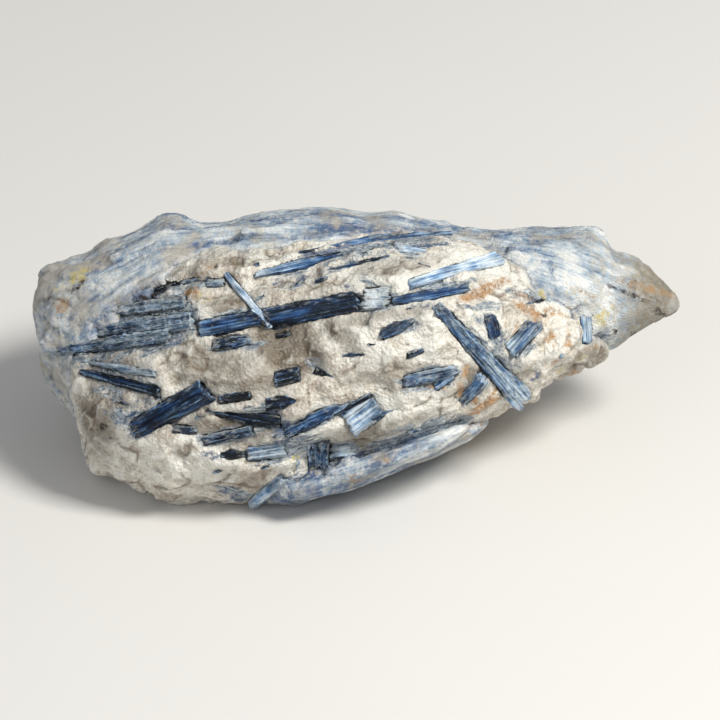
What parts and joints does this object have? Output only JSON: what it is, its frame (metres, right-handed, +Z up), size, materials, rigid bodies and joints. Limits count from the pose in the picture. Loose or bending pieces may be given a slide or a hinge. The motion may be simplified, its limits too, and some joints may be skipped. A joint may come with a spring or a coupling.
{
  "type": "kyanite blade cluster",
  "caption": "Elongated mineral specimen: dark blue kyanite blades set in milky quartz, with a pale bladed kyanite crust behind, lying on a broken flat underside.",
  "frame": {"origin": "centre of the specimen's footprint, on the surface that it rests on", "axes": "+X along the specimen toward its narrow tip, +Z up, and the show face with the blades toward -Y"},
  "size_m": [0.1298, 0.0706, 0.0509],
  "materials": {
    "milky_quartz": "rough broken quartz with a faint glassy sheen",
    "pale_kyanite": "fibrous, pearly, streaked along the blades",
    "grey_blue_kyanite": "striated, pearly",
    "dark_kyanite": "striated, glossy cleavage faces"
  },
  "bodies": {
    "root": {"black_left_blade": "dark_kyanite", "black_lens": "dark_kyanite", "black_stub": "dark_kyanite", "blue_chip_cluster": "grey_blue_kyanite", "blue_lath": "dark_kyanite", "blunt_upper_blade": "dark_kyanite", "bottom_spur": "grey_blue_kyanite", "chip_below_main_blade": "dark_kyanite", "cross_blade_long": "dark_kyanite", "cross_blade_lower": "grey_blue_kyanite", "cross_blade_upper": "grey_blue_kyanite", "dark_lath_right": "dark_kyanite", "dark_lower_blade": "dark_kyanite", "dark_wedge_stub": "dark_kyanite", "fibrous_plate": "grey_blue_kyanite", "grey_lower_lath": "dark_kyanite", "kyanite_crust": "pale_kyanite", "left_dark_blade": "dark_kyanite", "left_pale_lath": "grey_blue_kyanite", "lens_blade": "dark_kyanite", "long_lower_blade_and_block": "dark_kyanite", "long_upper_blade": "dark_kyanite", "lower_blade_bundle": "pale_kyanite", "main_blade_and_crossing_lath": "dark_kyanite", "pale_sheath_blade": "grey_blue_kyanite", "pale_upper_blade": "grey_blue_kyanite", "pale_upright_blade": "grey_blue_kyanite", "pointed_blue_stub": "dark_kyanite", "quartz_matrix": "milky_quartz", "raised_diagonal_blade": "dark_kyanite", "rough_blade_bundle": "dark_kyanite", "rough_upper_blade": "dark_kyanite", "sliver_beside_lens": "dark_kyanite", "small_grey_stub": "dark_kyanite", "small_lens_blade": "dark_kyanite", "small_upright_blade": "dark_kyanite", "square_stub": "dark_kyanite", "streaky_block": "grey_blue_kyanite", "stub_below_main_blade": "dark_kyanite", "thin_lath_in_cleft": "dark_kyanite", "thin_right_lens": "dark_kyanite", "thin_upper_lath": "dark_kyanite", "upper_left_lath": "dark_kyanite", "upright_fibre_block": "grey_blue_kyanite"}
  },
  "joints": []
}
